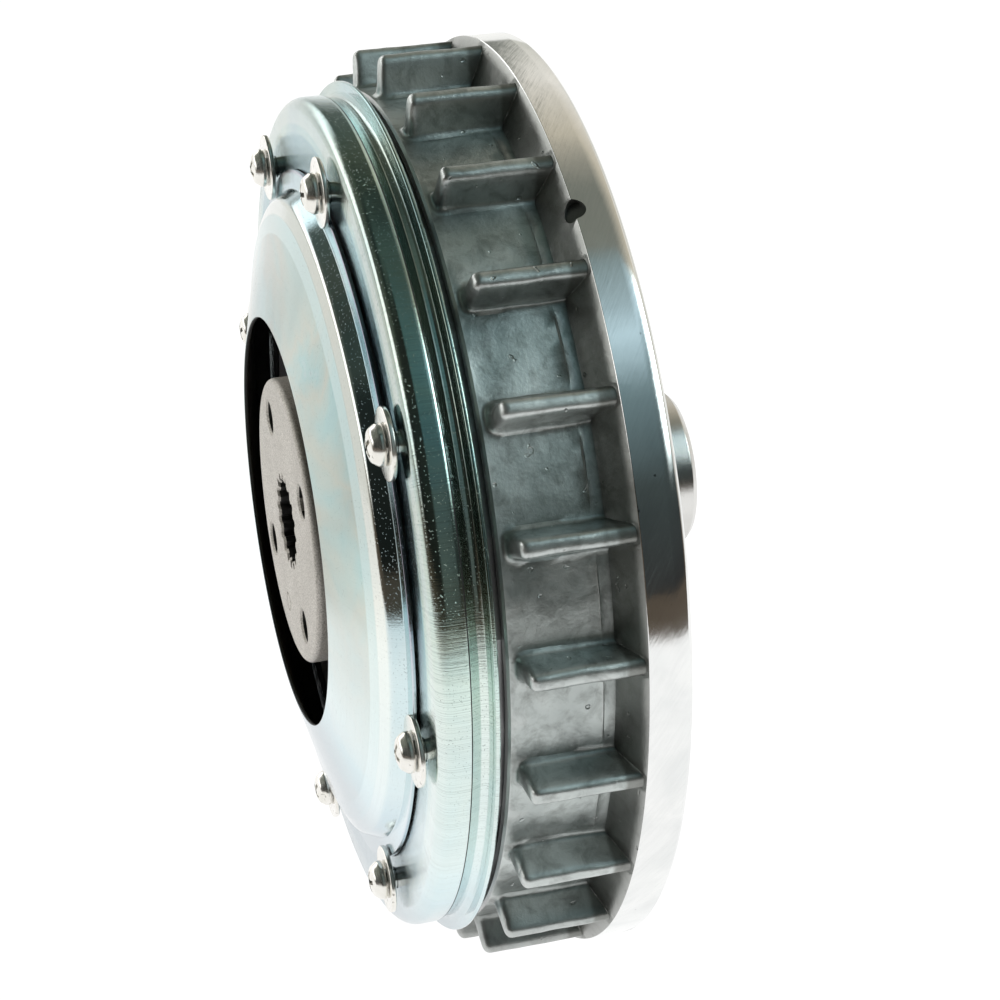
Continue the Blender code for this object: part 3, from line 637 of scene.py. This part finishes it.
def fin_curve(level):
    """One U-shaped line round a fin or on the panel beside it, as (degrees, station, radius) rows."""
    offset, share = FIN_SECTION[min(level, len(FIN_SECTION) - 1)]
    height = DRUM_REAR_RADIUS + (FIN_TOP - DRUM_REAR_RADIUS) * share
    last = FIN_CENTRE
    blend = 0.0
    if level >= len(FIN_SECTION):
        blend = BETWEEN_FINS[level - len(FIN_SECTION)]
        last += (DRUM_FRONT - FRONT_ROUND - last) * blend
    rows = []
    for station, radius in side_stations(height, last):
        if share == 0.0 and station > WALL_FOOT + 0.5:
            radius = drum_radius(station)
        if abs(station - RIDGE_STATION) < 1e-6 and share == 0.0:
            radius += RIDGE_HEIGHT * min(1.0, blend * 4.0)
        degrees = math.degrees(math.asin(offset / radius))
        degrees += (HALF_PITCH - degrees) * blend
        rows.append((degrees, station, radius))
    for step in range(1, FRONT_TURNS + 1):
        turn = math.pi / 2 * step / FRONT_TURNS
        sideways = offset * abs(math.cos(turn)) ** SQUARENESS if step < FRONT_TURNS else 0.0
        station = FIN_CENTRE + offset * math.sin(turn) ** SQUARENESS
        station += (DRUM_FRONT - FRONT_ROUND - station) * blend
        radius = drum_radius(station) + (FIN_TOP - drum_radius(station)) * share
        degrees = math.degrees(math.asin(sideways / radius))
        degrees += (HALF_PITCH * (1.0 - step / FRONT_TURNS) - degrees) * blend
        rows.append((degrees, station, radius))
    mirrored = [(-degrees, station, radius) for degrees, station, radius in reversed(rows[:-1])]
    return rows + mirrored


def roughen(degrees, station, radius):
    """A casting's small unevenness, fading out towards the machined rim."""
    if station < RIM_FRONT + 0.4 or station > DRUM_FRONT - 0.7:
        return degrees, station, radius
    point = at(radius, degrees, station) * 1000
    fade = min(1.0, (station - RIM_FRONT - 0.4) / 1.5, (DRUM_FRONT - 0.7 - station) / 1.0)
    low = noise.noise_vector(point * 0.13)
    high = noise.noise_vector(point * 0.45)
    push = (low * 0.2 + high * 0.09) * fade
    return degrees + math.degrees(push.x / radius), station + push.y * 0.5, radius + push.z


def balance_drill():
    """A blunt drill that meets the rim's front edge on a slant, from outside and in front."""
    radius = BALANCE_RADIUS / 1000
    shape = bmesh.new()
    bmesh.ops.create_cone(shape, cap_ends=True, segments=40, radius1=radius, radius2=radius * 0.92,
                          depth=0.008)
    mesh = bpy.data.meshes.new("balance_drill")
    shape.to_mesh(mesh)
    shape.free()
    outward = at(1.0, BALANCE_ANGLE, 0.0) - at(0.0, BALANCE_ANGLE, 0.0)
    heading = (outward.normalized() * 0.8 + Vector((0.0, -1.0, 0.0)) * 0.6).normalized()
    turn = (-heading).to_track_quat("Z", "Y")
    place = at(RIM_RADIUS, BALANCE_ANGLE, RIM_FRONT + 0.6) + heading * 0.0014
    mesh.transform(Matrix.Translation(place) @ turn.to_matrix().to_4x4())
    item = bpy.data.objects.new("balance_drill", mesh)
    bpy.context.scene.collection.objects.link(item)
    return item


def build_housing():
    """One closed sheet: every fin with its two half panels, the drum's inside and the rim's rear face."""
    noise.seed_set(CASTING_SEED)
    curves = [fin_curve(level) for level in range(len(FIN_SECTION) + len(BETWEEN_FINS))]
    length = len(curves[0])
    middle = length // 2
    side = middle - FRONT_TURNS
    verts = []
    faces = []

    def add(degrees, station, radius):
        verts.append(at(radius, degrees, station))
        return len(verts) - 1

    inner_rows = ((DRUM_FRONT_RADIUS - FRONT_ROUND, DRUM_FRONT), (DRUM_BORE + 0.3, DRUM_FRONT),
                  (DRUM_BORE, DRUM_FRONT - 0.3), (DRUM_BORE, HOUSING_FLOOR),
                  (HOUSING_BORE + 0.3, HOUSING_FLOOR), (HOUSING_BORE, HOUSING_FLOOR - 0.3),
                  (HOUSING_BORE, 0.4), (HOUSING_BORE + 0.4, 0.0))
    for centre in even_angles(FIN_COUNT, FIN_PHASE):
        grid = []
        for curve in curves:
            row = []
            for degrees, station, radius in curve:
                degrees, station, radius = roughen(centre + degrees, station, radius)
                row.append(add(degrees, station, radius))
            grid.append(row)
        for low, high in zip(grid, grid[1:]):
            for index in range(length - 1):
                faces.append((low[index], low[index + 1], high[index + 1], high[index]))
        front = grid[-1][side - 1:length - side + 1]
        front_degrees = [centre + curves[-1][index][0] for index in range(side - 1, length - side + 1)]
        for radius, station in inner_rows:
            ring = [add(degrees, station, radius) for degrees in front_degrees]
            for index in range(len(ring) - 1):
                faces.append((front[index], front[index + 1], ring[index + 1], ring[index]))
            front = ring
        rear = [row[0] for row in reversed(grid)] + [row[-1] for row in grid[1:]]
        faces.append(tuple(rear + front[::-1]))
    slots = [CAST, MACHINED, FACED_ALUMINIUM]
    housing = make_object("housing_casting", verts, faces, slots, weld=True)

    def surface(radius, station, outward, forward):
        if forward < -0.9 and station < 0.5 or station > DRUM_FRONT - FRONT_ROUND - 0.05:
            return slots.index(FACED_ALUMINIUM)
        if station < RIM_FRONT - 0.05 and radius > DRUM_BORE + 0.1:
            return slots.index(MACHINED)
        return slots.index(CAST)

    paint(housing, surface)
    sinks = drills("counterbores", [(0.0, -1.0), (4.9, -1.0), (4.5, 0.4), (4.5, 4.2), (2.4, 4.2),
                                    (2.4, 8.0), (0.0, 8.0)], REAR_SCREW_CIRCLE, REAR_SCREW_ANGLES)
    carve(housing, [sinks, balance_drill()])
    settle(housing, FIXED, "cast_aluminium", "finned_housing")


def build_rear_screws():
    """Socket cap screws that sit in the housing's counterbores."""
    outline = rounded([(0.0, 11.6, 0), (1.6, 11.6, 0.1), (2.05, 11.0, 0.1), (2.05, 3.9, 0.1),
                       (4.0, 3.9, 0.1), (4.0, 0.6, 0.5), (0.0, 0.6, 0)], closed=False, steps=4)
    for index, degrees in enumerate(REAR_SCREW_ANGLES):
        item = lathe(f"rear_cap_screw_{index + 1}", outline, [BLACK_STEEL], 48, closed=False,
                     centre=(REAR_SCREW_CIRCLE, degrees))
        socket = lathe("socket", [(0.0, -1.0), (2.5, -1.0), (2.0, 0.9), (2.0, 2.7), (0.0, 3.4)], [], 6,
                       closed=False, centre=(REAR_SCREW_CIRCLE, degrees))
        carve(item, [socket])
        settle(item, FIXED, "yoke_steel", f"rear_screw_{index + 1}")


# ---- magnetic circuit's visible parts ----------------------------------------------------------
def build_rear_yoke():
    """The rear half of the magnet yoke, with the raised land and its tapped holes for the drive plate."""
    outline = rounded([
        (97.0, 27.6, 0), (101.0, 27.6, 0.3), (101.0, 7.3, 0.6), (84.5, 7.3, 0.1), (84.5, 6.3, 0.3),
        (33.0, 6.3, 0.3), (33.0, 7.3, 0.1), (20.4, 7.3, 0.2), (20.4, 10.3, 0), (26.3, 10.3, 0),
        (26.3, 25.7, 0), (27.6, 25.7, 0), (27.6, 27.3, 0), (26.3, 27.3, 0), (26.3, 28.6, 0.3),
        (32.0, 28.6, 0.3), (32.0, 13.0, 0), (78.0, 13.0, 0), (78.0, 26.0, 0), (81.5, 26.0, 0),
        (81.5, 14.6, 0), (97.0, 14.6, 0),
    ], steps=3)
    yoke = lathe("rear_yoke_plate", outline, [YOKE_STEEL])
    taps = drills("taps", [(0.0, 5.0), (4.3, 5.0), (4.3, 6.25), (3.4, 7.2), (3.4, 12.0), (0.0, 12.4)],
                  TAP_CIRCLE, even_angles(TAP_COUNT))
    bores = drills("bores", [(0.0, 6.0), (2.4, 6.0), (2.4, 12.4), (0.0, 12.4)], REAR_SCREW_CIRCLE,
                   REAR_SCREW_ANGLES, 24)
    carve(yoke, [taps, bores])
    settle(yoke, FIXED, "yoke_steel", "rear_yoke")


def build_slip_rings():
    """The collector rings on their board, and the plate behind them that keeps the powder in."""
    carrier = rounded([(33.0, 49.2, 0.3), (60.0, 49.2, 0.5), (60.0, 46.4, 0.3), (33.0, 46.4, 0.3)], steps=3)
    settle(lathe("slip_ring_board", carrier, [PHENOLIC]), FIXED, "phenolic", "slip_ring_carrier")
    for name, inner, outer in (("inner", 36.5, 43.0), ("outer", 46.0, 52.5)):
        outline = [(inner, 51.2, 0.3), (outer, 51.2, 0.3), (outer, 49.5, 0), (inner, 49.5, 0)]
        ring = lathe(f"{name}_collector_ring", rounded(outline, steps=3), [BRASS])
        settle(ring, FIXED, "brass", f"slip_ring_{name}")
    plate = rounded([(28.4, 48.6, 0.2), (31.6, 48.6, 0.3), (31.6, 46.1, 0), (77.4, 46.1, 0.3),
                     (77.4, 44.2, 0.2), (28.4, 44.2, 0.2)], steps=3)
    settle(lathe("seal_plate", plate, [YOKE_STEEL]), FIXED, "yoke_steel", "front_seal_plate")


# ---- covers -----------------------------------------------------------------------------------
def build_outer_cover():
    """A shallow pressed ring with a rounded shoulder, a bead and a lip."""
    outline = rounded([
        (77.0, 54.5, 0.3), (95.0, 54.5, 1.0), (104.0, 54.1, 5.3), (104.0, 47.2, 3.0), (102.9, 44.6, 1.6),
        (103.0, 43.0, 1.3), (104.4, 42.3, 1.2), (107.0, 42.25, 0.45), (106.9, 41.15, 0.45),
        (102.4, 41.1, 1.4), (101.5, 44.2, 2.0), (102.8, 47.4, 3.0), (102.8, 52.9, 4.1), (95.0, 53.3, 1.0),
        (77.0, 53.3, 0.3),
    ], steps=8)
    cover = lathe("outer_cover_pressing", outline, [ZINC_RING, INNER_ZINC])
    # Inner and rear faces take the near-black zinc, painted shade.
    paint(cover, lambda radius, station, outward, forward: int(
        (forward < -0.3 and station > 46.0) or outward < -0.6))
    bores = drills("bores", [(0.0, 52.0), (2.8, 52.0), (2.8, 56.0), (0.0, 56.0)], SCREW_CIRCLE,
                   COVER_SCREW_ANGLES, 24)
    carve(cover, [bores])
    settle(cover, FIXED, "zinc_plate", "outer_cover")


def build_dome_cover():
    """A shallow cone with the central opening, a rounded shoulder and a flat flange."""
    outline = rounded([
        (51.4, 67.7, 0.35), (71.8, 62.2, 0.7), (76.2, 61.2, 1.2), (79.7, 59.7, 2.8), (81.9, 55.8, 0.5),
        (86.7, 55.8, 0.25), (86.7, 54.8, 0.25), (81.3, 54.8, 0.9), (78.9, 58.8, 1.6), (75.8, 60.2, 1.2),
        (71.5, 61.2, 0.7), (51.4, 66.65, 0.35),
    ], steps=7)
    dome = lathe("dome_cover_pressing", outline, [ZINC_DOME, INNER_ZINC])
    # Inner and rear faces take the near-black zinc, painted shade.
    paint(dome, lambda radius, station, outward, forward: int(forward < -0.3 or outward < -0.6))
    settle(dome, FIXED, "zinc_plate", "dome_cover")


def phillips_cutters(circle, degrees, top, turn):
    """Two crossing bars that taper towards the bottom, as the cutters of a cross recess."""
    bars = []
    for bar in range(2):
        heading = math.radians(turn + 90.0 * bar)
        along = Vector((math.cos(heading), 0.0, math.sin(heading)))
        across = Vector((-along.z, 0.0, along.x))
        verts = []
        sections = ((top + 0.8, 2.9, 0.62), (top - 0.5, 2.45, 0.52), (top - 2.6, 0.8, 0.3))
        for station, reach, half in sections:
            for sign_along, sign_across in ((-1, -1), (1, -1), (1, 1), (-1, 1)):
                point = along * (reach * sign_along / 1000) + across * (half * sign_across / 1000)
                verts.append(at(circle, degrees, station) + point)
        faces = []
        for layer in (0, 4):
            for side in range(4):
                following = (side + 1) % 4
                faces.append((layer + side, layer + following, layer + 4 + following, layer + 4 + side))
        faces += [(0, 3, 2, 1), (8, 9, 10, 11)]
        bars.append(make_object(f"bar_{bar}", verts, faces, []))
    return bars


def build_cover_screws():
    """Pan-head cross-recess screws with plain washers."""
    washer = rounded([(2.8, 57.3, 0.15), (8.3, 57.3, 0.3), (8.3, 56.1, 0.3), (2.8, 56.1, 0.15)], steps=4)
    head = rounded([(0.0, SCREW_TOP, 0), (1.6, SCREW_TOP, 1.5), (3.6, 60.5, 1.8), (4.8, 58.8, 1.2),
                    (4.8, 57.6, 0.25), (2.45, 57.6, 0.1), (2.45, 44.2, 0.3), (0.0, 44.2, 0)],
                   closed=False, steps=6)
    for index, degrees in enumerate(COVER_SCREW_ANGLES):
        number = index + 1
        place = (SCREW_CIRCLE, degrees)
        ring = lathe(f"plain_washer_{number}", washer, [NICKEL], 96, centre=place)
        settle(ring, FIXED, "nickel", f"cover_washer_{number}")
        item = lathe(f"pan_head_screw_{number}", head, [NICKEL], 96, closed=False, centre=place)
        carve(item, phillips_cutters(*place, SCREW_TOP, 20.0 + 33.0 * index))
        settle(item, FIXED, "nickel", f"cover_screw_{number}")


# ---- shaft side -------------------------------------------------------------------------------
def build_pilot_boss():
    """The turned boss with its shoulder and the centre mark in its end."""
    outline = rounded([
        (0.0, 3.0, 0), (16.0, 3.0, 0.3), (16.0, 9.9, 0.3), (20.0, 9.9, 0.4), (20.0, 7.0, 0.2),
        (31.0, 7.0, 0.6), (31.0, 0.5, 0.8), (21.0, 0.5, 0.8), (20.0, -0.6, 0.6), (20.0, -34.2, 0.5),
        (18.6, -35.6, 0.4), (3.2, -35.6, 0.2), (1.6, -33.8, 0.2), (0.0, -33.2, 0),
    ], closed=False, steps=4)
    boss = lathe("pilot_boss_turned", outline, [BOSS_STEEL], closed=False)
    settle(boss, FIXED, "turned_steel", "pilot_boss")


def spline_outline():
    """(radius, degrees) points round the splined hole."""
    tooth_shape = ((0.02, SPLINE_ROOT), (0.15, SPLINE_ROOT + 0.05), (0.28, SPLINE_ROOT), (0.46, SPLINE_TIP),
                   (0.66, SPLINE_TIP - 0.04), (0.84, SPLINE_TIP))
    pitch = 360.0 / SPLINE_TEETH
    return [(radius, (tooth + share) * pitch)
            for tooth in range(SPLINE_TEETH) for share, radius in tooth_shape]


def build_rotor_hub():
    """The hub with its splined hole, four small holes and the faint ring mark left by the press tool."""
    outline = rounded([
        (0.0, 66.8, 0), (36.0, 66.8, 1.5), (36.0, 58.6, 0.6), (21.5, 57.0, 0.6), (21.5, 51.5, 0.4),
        (27.0, 50.4, 0.3), (27.0, 36.8, 0.3), (24.0, 36.8, 0), (24.0, 30.2, 0), (15.6, 30.2, 0),
        (15.6, 25.9, 0), (12.3, 25.9, 0), (12.3, 10.0, 0), (11.2, 10.0, 0), (11.2, 8.4, 0),
        (12.3, 8.4, 0), (12.3, 6.6, 0), (11.3, 5.6, 0), (0.0, 5.6, 0),
    ], closed=False, steps=6)
    hub = lathe("splined_hub", outline, [SINTERED, BORE_STEEL], closed=False)
    teeth = spline_outline()
    verts = []
    faces = []
    count = len(teeth)
    for station, grow in ((37.0, 0.0), (66.2, 0.0), (67.6, 1.2)):
        verts += [at(radius + grow, degrees, station) for radius, degrees in teeth]
    for layer in (0, count):
        for index in range(count):
            near, far = layer + index, layer + (index + 1) % count
            faces.append((near, far, far + count, near + count))
    faces.append(tuple(range(count)))
    faces.append(tuple(range(3 * count - 1, 2 * count - 1, -1)))
    broach = make_object("broach", verts, faces, [])
    holes = drills("holes", [(0.0, 53.0), (4.2, 53.0), (4.2, 66.3), (5.0, 67.1), (5.0, 68.0), (0.0, 68.0)],
                   HUB_HOLE_CIRCLE, even_angles(HUB_HOLE_COUNT, HUB_HOLE_PHASE), 48)
    groove = rounded([(2.1, 66.65, 0), (2.5, 66.65, 0), (2.5, 68.0, 0), (2.1, 68.0, 0)])
    mark = lathe("ring_mark", groove, [], 32, centre=(25.7, 186.0))
    carve(hub, [broach, holes, mark])
    # Faces inside the hub take the near-black steel, painted shade.
    paint(hub, lambda radius, station, outward, forward: int(
        station < 66.1 and forward < 0.5 and radius < 34.0 and outward < 0.9))
    settle(hub, TURNING, "sintered_iron", "rotor_hub")


# ---- stage, light and camera ------------------------------------------------------------------
CLUTCH_MIDDLE = Vector((0.0, -0.05, 0.0))
CAMERA_PLACE = Vector((0.51864, -0.19347, 0.31348))
CAMERA_HEADING = Vector((-0.8300, 0.2347, -0.5060))
CAMERA_LENS = 87.64
WHITE = (1.0, 1.0, 1.0)


def build_floor():
    """An oval white table top that glows a little, so that it stays white under the soft light."""
    shape = bmesh.new()
    bmesh.ops.create_circle(shape, cap_ends=True, segments=96, radius=1.0)
    bmesh.ops.scale(shape, verts=shape.verts, vec=(1.0, 0.64, 1.0))
    bmesh.ops.translate(shape, verts=shape.verts, vec=(0.0, 0.0, FLOOR_Z))
    mesh = bpy.data.meshes.new("floor")
    shape.to_mesh(mesh)
    shape.free()
    floor = bpy.data.objects.new("floor", mesh)
    bpy.context.scene.collection.objects.link(floor)
    look = Look("white_table", roughness=0.6)
    look.set(Base_Color=look.ramp(look.noise(8.0, 2.0), (0.3, 0.10), (0.7, 0.13)), Emission_Color=WHITE,
             Emission_Strength=1.0, Specular_IOR_Level=0.1)
    mesh.materials.append(look.material)


def build_world():
    """A studio as a sky, which the metal mirrors and the camera sees as plain white.

    The part in front is dark but for a white strip low on the left. The part behind is pale on the left,
    and on the right dark but for a band high up and a bright window. The two meet a little behind the
    middle, between what the covers' walls mirror and what the rim mirrors.
    """
    world = bpy.data.worlds.new("studio")
    bpy.context.scene.world = world
    world.use_nodes = True
    look = NodeTree(world.node_tree, "Generated")
    nodes = look.tree.nodes
    x, y, z = look.split()
    flat = look.math("SQRT", look.math("ADD", look.math("MULTIPLY", x, x), look.math("MULTIPLY", y, y)))
    right = look.math("DIVIDE", x, flat)
    ahead = look.math("DIVIDE", look.math("MULTIPLY", y, -1.0), flat)
    side = look.math("ADD", look.math("MULTIPLY", right, 0.996), look.math("MULTIPLY", ahead, 0.087))
    on_right = look.span(side, 0.05, 0.3)
    on_front = look.span(y, 0.250, 0.268, 1.0, 0.0)
    behind_left = look.ramp(z, (0.0, (0.62, 0.62, 0.56)), (0.5, (0.90, 0.87, 0.80)),
                            (0.8, (0.62, 0.57, 0.46)), (0.93, (0.20, 0.21, 0.18)))
    behind_right = look.ramp(z, (0.0, 0.03), (0.45, (0.05, 0.065, 0.065)), (0.74, (0.17, 0.25, 0.27)),
                             (0.86, (0.60, 0.80, 0.88)), (0.96, (0.20, 0.26, 0.26)))
    window = look.math("MULTIPLY", look.span(y, 0.46, 0.62), look.span(z, 0.38, 0.6))
    behind_right = look.mix(window, behind_right, (5.4, 6.2, 6.2))
    behind = look.mix(on_right, behind_left, behind_right)
    strip = look.math("MULTIPLY", look.span(z, 0.04, 0.10), look.span(z, 0.34, 0.42, 1.0, 0.0))
    strip = look.math("MULTIPLY", strip, look.span(y, -0.12, 0.02, 1.0, 0.0))
    side_left = look.ramp(z, (0.0, (0.20, 0.21, 0.19)), (0.65, (0.11, 0.125, 0.10)),
                          (0.85, (0.035, 0.045, 0.038)), (0.96, (0.12, 0.155, 0.13)))
    front_left = look.mix(strip, side_left, (2.2, 2.2, 2.16))
    side_right = look.ramp(z, (0.0, (0.13, 0.15, 0.14)), (0.45, (0.11, 0.14, 0.14)),
                           (0.75, (0.10, 0.165, 0.17)), (0.92, (0.12, 0.21, 0.22)))
    front_dark = look.ramp(z, (0.0, (0.012, 0.013, 0.011)), (0.6, (0.03, 0.035, 0.03)))
    front_right = look.mix(look.span(y, -0.12, 0.04), front_dark, side_right)
    front = look.mix(on_right, front_left, front_right)
    sky = look.mix(on_front, behind, front)
    edge = look.mix(look.span(side, -0.35, 0.1), (1.0, 1.0, 0.97), (0.10, 0.08, 0.06))
    sky = look.mix(look.span(z, 0.0, 0.04), edge, sky)
    path = nodes.new("ShaderNodeLightPath")
    shown = look.mix(path.outputs["Is Camera Ray"], sky, WHITE)
    look.put(nodes["Background"].inputs["Color"], shown)


def add_soft_box(name, location, side, power, colour):
    """A square light aimed at the clutch's middle, which only dull surfaces show."""
    light = bpy.data.lights.new(name, "AREA")
    light.size = side
    light.energy = power
    light.color = colour
    item = bpy.data.objects.new(name, light)
    item.location = location
    item.rotation_euler = (CLUTCH_MIDDLE - Vector(location)).to_track_quat("-Z", "Y").to_euler()
    item.visible_glossy = False
    bpy.context.scene.collection.objects.link(item)


def build_lights():
    add_soft_box("upper_right_soft_box", (0.75, 0.15, 0.75), 0.7, 2.0, (0.93, 1.0, 1.0))
    add_soft_box("front_left_soft_box", (-0.55, -0.85, 0.35), 0.5, 3.0, (1.0, 0.96, 0.88))


def build_camera():
    """The photo's view: 74.2 degrees round to the right of the front and 30.4 above."""
    camera = bpy.data.cameras.new("camera")
    camera.lens = CAMERA_LENS
    camera.sensor_width = 36.0
    item = bpy.data.objects.new("camera", camera)
    item.location = CAMERA_PLACE
    item.rotation_euler = CAMERA_HEADING.to_track_quat("-Z", "Y").to_euler()
    bpy.context.scene.collection.objects.link(item)
    bpy.context.scene.camera = item


build_camera()
build_floor()
build_world()
build_lights()
bpy.context.scene.view_settings.view_transform = "Standard"
paint_kept_nodes()
build_housing()
build_rear_screws()
build_rear_yoke()
build_slip_rings()
build_outer_cover()
build_dome_cover()
build_cover_screws()
build_pilot_boss()
build_rotor_hub()
